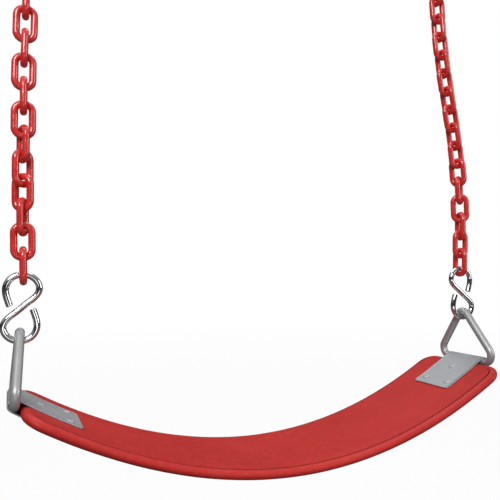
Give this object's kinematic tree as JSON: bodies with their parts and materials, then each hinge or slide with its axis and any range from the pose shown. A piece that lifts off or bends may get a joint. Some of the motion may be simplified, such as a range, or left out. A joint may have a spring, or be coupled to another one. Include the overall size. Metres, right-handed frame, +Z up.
{
  "type": "belt swing",
  "caption": "Belt swing: a sagging moulded strip seat with riveted folded end plates, triangle rings and S-hooks, hung by coated link chains from spring snap hooks.",
  "frame": {"origin": "on the hanging line, midway between the two points where the snap hooks rest on their hangers", "axes": "+X along the seat towards its right end as seen from the front, -Y towards the front, +Z up"},
  "size_m": [0.5907, 0.14, 0.6722],
  "materials": {
    "red_belt": "matte",
    "grey_plate": "matte",
    "grey_ring": "satin",
    "rivet_steel": "satin",
    "bright_zinc": "polished",
    "red_coated_link": "gloss",
    "zinc_hook": "polished",
    "zinc_gate": "polished",
    "spring_steel": "polished"
  },
  "bodies": {
    "hangers": {"left_snap_hook_frame": "zinc_hook", "left_gate_hinge_pin": "rivet_steel", "right_snap_hook_frame": "zinc_hook", "right_gate_hinge_pin": "rivet_steel"},
    "left_gate": {"left_snap_hook_gate": "zinc_gate", "left_gate_latch_pin": "rivet_steel", "left_gate_plunger": "spring_steel", "left_gate_spring": "spring_steel"},
    "left_link_16": {"left_chain_link_16": "red_coated_link"},
    "left_link_15": {"left_chain_link_15": "red_coated_link"},
    "left_link_14": {"left_chain_link_14": "red_coated_link"},
    "left_link_13": {"left_chain_link_13": "red_coated_link"},
    "left_link_12": {"left_chain_link_12": "red_coated_link"},
    "left_link_11": {"left_chain_link_11": "red_coated_link"},
    "left_link_10": {"left_chain_link_10": "red_coated_link"},
    "left_link_09": {"left_chain_link_09": "red_coated_link"},
    "left_link_08": {"left_chain_link_08": "red_coated_link"},
    "left_link_07": {"left_chain_link_07": "red_coated_link"},
    "left_link_06": {"left_chain_link_06": "red_coated_link"},
    "left_link_05": {"left_chain_link_05": "red_coated_link"},
    "left_link_04": {"left_chain_link_04": "red_coated_link"},
    "left_link_03": {"left_chain_link_03": "red_coated_link"},
    "left_link_02": {"left_chain_link_02": "red_coated_link"},
    "left_link_01": {"left_chain_link_01": "red_coated_link"},
    "left_s_hook_body": {"left_s_hook": "bright_zinc"},
    "right_gate": {"right_snap_hook_gate": "zinc_gate", "right_gate_latch_pin": "rivet_steel", "right_gate_plunger": "spring_steel", "right_gate_spring": "spring_steel"},
    "right_link_16": {"right_chain_link_16": "red_coated_link"},
    "right_link_15": {"right_chain_link_15": "red_coated_link"},
    "right_link_14": {"right_chain_link_14": "red_coated_link"},
    "right_link_13": {"right_chain_link_13": "red_coated_link"},
    "right_link_12": {"right_chain_link_12": "red_coated_link"},
    "right_link_11": {"right_chain_link_11": "red_coated_link"},
    "right_link_10": {"right_chain_link_10": "red_coated_link"},
    "right_link_09": {"right_chain_link_09": "red_coated_link"},
    "right_link_08": {"right_chain_link_08": "red_coated_link"},
    "right_link_07": {"right_chain_link_07": "red_coated_link"},
    "right_link_06": {"right_chain_link_06": "red_coated_link"},
    "right_link_05": {"right_chain_link_05": "red_coated_link"},
    "right_link_04": {"right_chain_link_04": "red_coated_link"},
    "right_link_03": {"right_chain_link_03": "red_coated_link"},
    "right_link_02": {"right_chain_link_02": "red_coated_link"},
    "right_link_01": {"right_chain_link_01": "red_coated_link"},
    "right_s_hook_body": {"right_s_hook": "bright_zinc"},
    "seat": {"belt_seat": "red_belt", "left_end_plate": "grey_plate", "left_rivets": "rivet_steel", "left_triangle_ring": "grey_ring", "right_end_plate": "grey_plate", "right_rivets": "rivet_steel", "right_triangle_ring": "grey_ring"}
  },
  "joints": [
    {"name": "left_gate_hinge", "type": "hinge", "parent": "hangers", "child": "left_gate", "pos_m": [-0.24604, 0, -0.0157], "axis": [0, 1, 0], "range_deg": [0, 30], "stiffness_Nm_per_rad": 0.12, "springref_deg": -28.65},
    {"name": "left_link_16_swing", "type": "hinge", "parent": "hangers", "child": "left_link_16", "pos_m": [-0.25656, 0, -0.07055], "axis": [1, 0, 0], "range_deg": [-60, 60]},
    {"name": "left_link_15_swing", "type": "hinge", "parent": "left_link_16", "child": "left_link_15", "pos_m": [-0.25677, 0, -0.0876], "axis": [-1, 0, 0], "range_deg": [-60, 60]},
    {"name": "left_link_14_swing", "type": "hinge", "parent": "left_link_15", "child": "left_link_14", "pos_m": [-0.25698, 0, -0.1194], "axis": [1, 0, 0], "range_deg": [-60, 60]},
    {"name": "left_link_13_swing", "type": "hinge", "parent": "left_link_14", "child": "left_link_13", "pos_m": [-0.2572, 0, -0.136], "axis": [-1, 0, 0], "range_deg": [-60, 60]},
    {"name": "left_link_12_swing", "type": "hinge", "parent": "left_link_13", "child": "left_link_12", "pos_m": [-0.25741, 0, -0.1678], "axis": [1, 0, 0], "range_deg": [-60, 60]},
    {"name": "left_link_11_swing", "type": "hinge", "parent": "left_link_12", "child": "left_link_11", "pos_m": [-0.2577, 0, -0.1844], "axis": [-1, 0, 0], "range_deg": [-60, 60]},
    {"name": "left_link_10_swing", "type": "hinge", "parent": "left_link_11", "child": "left_link_10", "pos_m": [-0.25838, 0, -0.2162], "axis": [1, 0, 0], "range_deg": [-60, 60]},
    {"name": "left_link_09_swing", "type": "hinge", "parent": "left_link_10", "child": "left_link_09", "pos_m": [-0.25918, 0, -0.2328], "axis": [-1, 0, 0], "range_deg": [-60, 60]},
    {"name": "left_link_08_swing", "type": "hinge", "parent": "left_link_09", "child": "left_link_08", "pos_m": [-0.2596, 0, -0.2646], "axis": [1, 0, 0], "range_deg": [-60, 60]},
    {"name": "left_link_07_swing", "type": "hinge", "parent": "left_link_08", "child": "left_link_07", "pos_m": [-0.25969, 0, -0.2812], "axis": [-1, 0, 0], "range_deg": [-60, 60]},
    {"name": "left_link_06_swing", "type": "hinge", "parent": "left_link_07", "child": "left_link_06", "pos_m": [-0.2599, 0, -0.31234], "axis": [1, 0, 0], "range_deg": [-11, 11]},
    {"name": "left_link_05_swing", "type": "hinge", "parent": "left_link_06", "child": "left_link_05", "pos_m": [-0.26028, 0, -0.33057], "axis": [-1, 0, 0], "range_deg": [-7, 7]},
    {"name": "left_link_04_swing", "type": "hinge", "parent": "left_link_05", "child": "left_link_04", "pos_m": [-0.2604, 0, -0.3576], "axis": [1, 0, 0], "range_deg": [-7, 7]},
    {"name": "left_link_03_swing", "type": "hinge", "parent": "left_link_04", "child": "left_link_03", "pos_m": [-0.2604, 0, -0.38463], "axis": [-1, 0, 0], "range_deg": [-10, 10]},
    {"name": "left_link_02_swing", "type": "hinge", "parent": "left_link_03", "child": "left_link_02", "pos_m": [-0.26032, 0, -0.40286], "axis": [1, 0, 0], "range_deg": [-16, 16]},
    {"name": "left_link_01_swing", "type": "hinge", "parent": "left_link_02", "child": "left_link_01", "pos_m": [-0.26011, 0, -0.434], "axis": [-1, 0, 0], "range_deg": [-60, 60]},
    {"name": "left_s_hook_swing", "type": "hinge", "parent": "left_link_01", "child": "left_s_hook_body", "pos_m": [-0.25981, 0, -0.45095], "axis": [1, 0, 0], "range_deg": [-60, 60]},
    {"name": "right_gate_hinge", "type": "hinge", "parent": "hangers", "child": "right_gate", "pos_m": [0.26708, 0, -0.0157], "axis": [0, 1, 0], "range_deg": [0, 30], "stiffness_Nm_per_rad": 0.12, "springref_deg": -28.65},
    {"name": "right_link_16_swing", "type": "hinge", "parent": "hangers", "child": "right_link_16", "pos_m": [0.25656, 0, -0.07055], "axis": [1, 0, 0], "range_deg": [-60, 60]},
    {"name": "right_link_15_swing", "type": "hinge", "parent": "right_link_16", "child": "right_link_15", "pos_m": [0.25791, 0, -0.0876], "axis": [-1, 0, 0], "range_deg": [-60, 60]},
    {"name": "right_link_14_swing", "type": "hinge", "parent": "right_link_15", "child": "right_link_14", "pos_m": [0.25944, 0, -0.1194], "axis": [1, 0, 0], "range_deg": [-60, 60]},
    {"name": "right_link_13_swing", "type": "hinge", "parent": "right_link_14", "child": "right_link_13", "pos_m": [0.26147, 0, -0.136], "axis": [-1, 0, 0], "range_deg": [-60, 60]},
    {"name": "right_link_12_swing", "type": "hinge", "parent": "right_link_13", "child": "right_link_12", "pos_m": [0.2641, 0, -0.1678], "axis": [1, 0, 0], "range_deg": [-60, 60]},
    {"name": "right_link_11_swing", "type": "hinge", "parent": "right_link_12", "child": "right_link_11", "pos_m": [0.2675, 0, -0.1844], "axis": [-1, 0, 0], "range_deg": [-60, 60]},
    {"name": "right_link_10_swing", "type": "hinge", "parent": "right_link_11", "child": "right_link_10", "pos_m": [0.2715, 0, -0.2162], "axis": [1, 0, 0], "range_deg": [-60, 60]},
    {"name": "right_link_09_swing", "type": "hinge", "parent": "right_link_10", "child": "right_link_09", "pos_m": [0.27577, 0, -0.2328], "axis": [-1, 0, 0], "range_deg": [-60, 60]},
    {"name": "right_link_08_swing", "type": "hinge", "parent": "right_link_09", "child": "right_link_08", "pos_m": [0.27995, 0, -0.2646], "axis": [1, 0, 0], "range_deg": [-60, 60]},
    {"name": "right_link_07_swing", "type": "hinge", "parent": "right_link_08", "child": "right_link_07", "pos_m": [0.28353, 0, -0.2812], "axis": [-1, 0, 0], "range_deg": [-60, 60]},
    {"name": "right_link_06_swing", "type": "hinge", "parent": "right_link_07", "child": "right_link_06", "pos_m": [0.28633, 0, -0.31234], "axis": [1, 0, 0], "range_deg": [-11, 11]},
    {"name": "right_link_05_swing", "type": "hinge", "parent": "right_link_06", "child": "right_link_05", "pos_m": [0.28836, 0, -0.33057], "axis": [-1, 0, 0], "range_deg": [-7, 7]},
    {"name": "right_link_04_swing", "type": "hinge", "parent": "right_link_05", "child": "right_link_04", "pos_m": [0.28954, 0, -0.3576], "axis": [1, 0, 0], "range_deg": [-7, 7]},
    {"name": "right_link_03_swing", "type": "hinge", "parent": "right_link_04", "child": "right_link_03", "pos_m": [0.28988, 0, -0.38463], "axis": [-1, 0, 0], "range_deg": [-10, 10]},
    {"name": "right_link_02_swing", "type": "hinge", "parent": "right_link_03", "child": "right_link_02", "pos_m": [0.28937, 0, -0.40286], "axis": [1, 0, 0], "range_deg": [-16, 16]},
    {"name": "right_link_01_swing", "type": "hinge", "parent": "right_link_02", "child": "right_link_01", "pos_m": [0.28832, 0, -0.434], "axis": [-1, 0, 0], "range_deg": [-60, 60]},
    {"name": "right_s_hook_swing", "type": "hinge", "parent": "right_link_01", "child": "right_s_hook_body", "pos_m": [0.28726, 0, -0.45095], "axis": [1, 0, 0], "range_deg": [-60, 60]},
    {"name": "seat_swing", "type": "hinge", "parent": "left_s_hook_body", "child": "seat", "pos_m": [-0.26337, 0, -0.51604], "axis": [-1, 0, 0], "range_deg": [-60, 60]}
  ],
  "couplings": [
    {"joint": "right_link_16_swing", "follows": "left_link_16_swing", "ratio": 1},
    {"joint": "right_link_15_swing", "follows": "left_link_15_swing", "ratio": 1},
    {"joint": "right_link_14_swing", "follows": "left_link_14_swing", "ratio": 1},
    {"joint": "right_link_13_swing", "follows": "left_link_13_swing", "ratio": 1},
    {"joint": "right_link_12_swing", "follows": "left_link_12_swing", "ratio": 1},
    {"joint": "right_link_11_swing", "follows": "left_link_11_swing", "ratio": 1},
    {"joint": "right_link_10_swing", "follows": "left_link_10_swing", "ratio": 1},
    {"joint": "right_link_09_swing", "follows": "left_link_09_swing", "ratio": 1},
    {"joint": "right_link_08_swing", "follows": "left_link_08_swing", "ratio": 1},
    {"joint": "right_link_07_swing", "follows": "left_link_07_swing", "ratio": 1},
    {"joint": "right_link_06_swing", "follows": "left_link_06_swing", "ratio": 1},
    {"joint": "right_link_05_swing", "follows": "left_link_05_swing", "ratio": 1},
    {"joint": "right_link_04_swing", "follows": "left_link_04_swing", "ratio": 1},
    {"joint": "right_link_03_swing", "follows": "left_link_03_swing", "ratio": 1},
    {"joint": "right_link_02_swing", "follows": "left_link_02_swing", "ratio": 1},
    {"joint": "right_link_01_swing", "follows": "left_link_01_swing", "ratio": 1},
    {"joint": "right_s_hook_swing", "follows": "left_s_hook_swing", "ratio": 1}
  ]
}
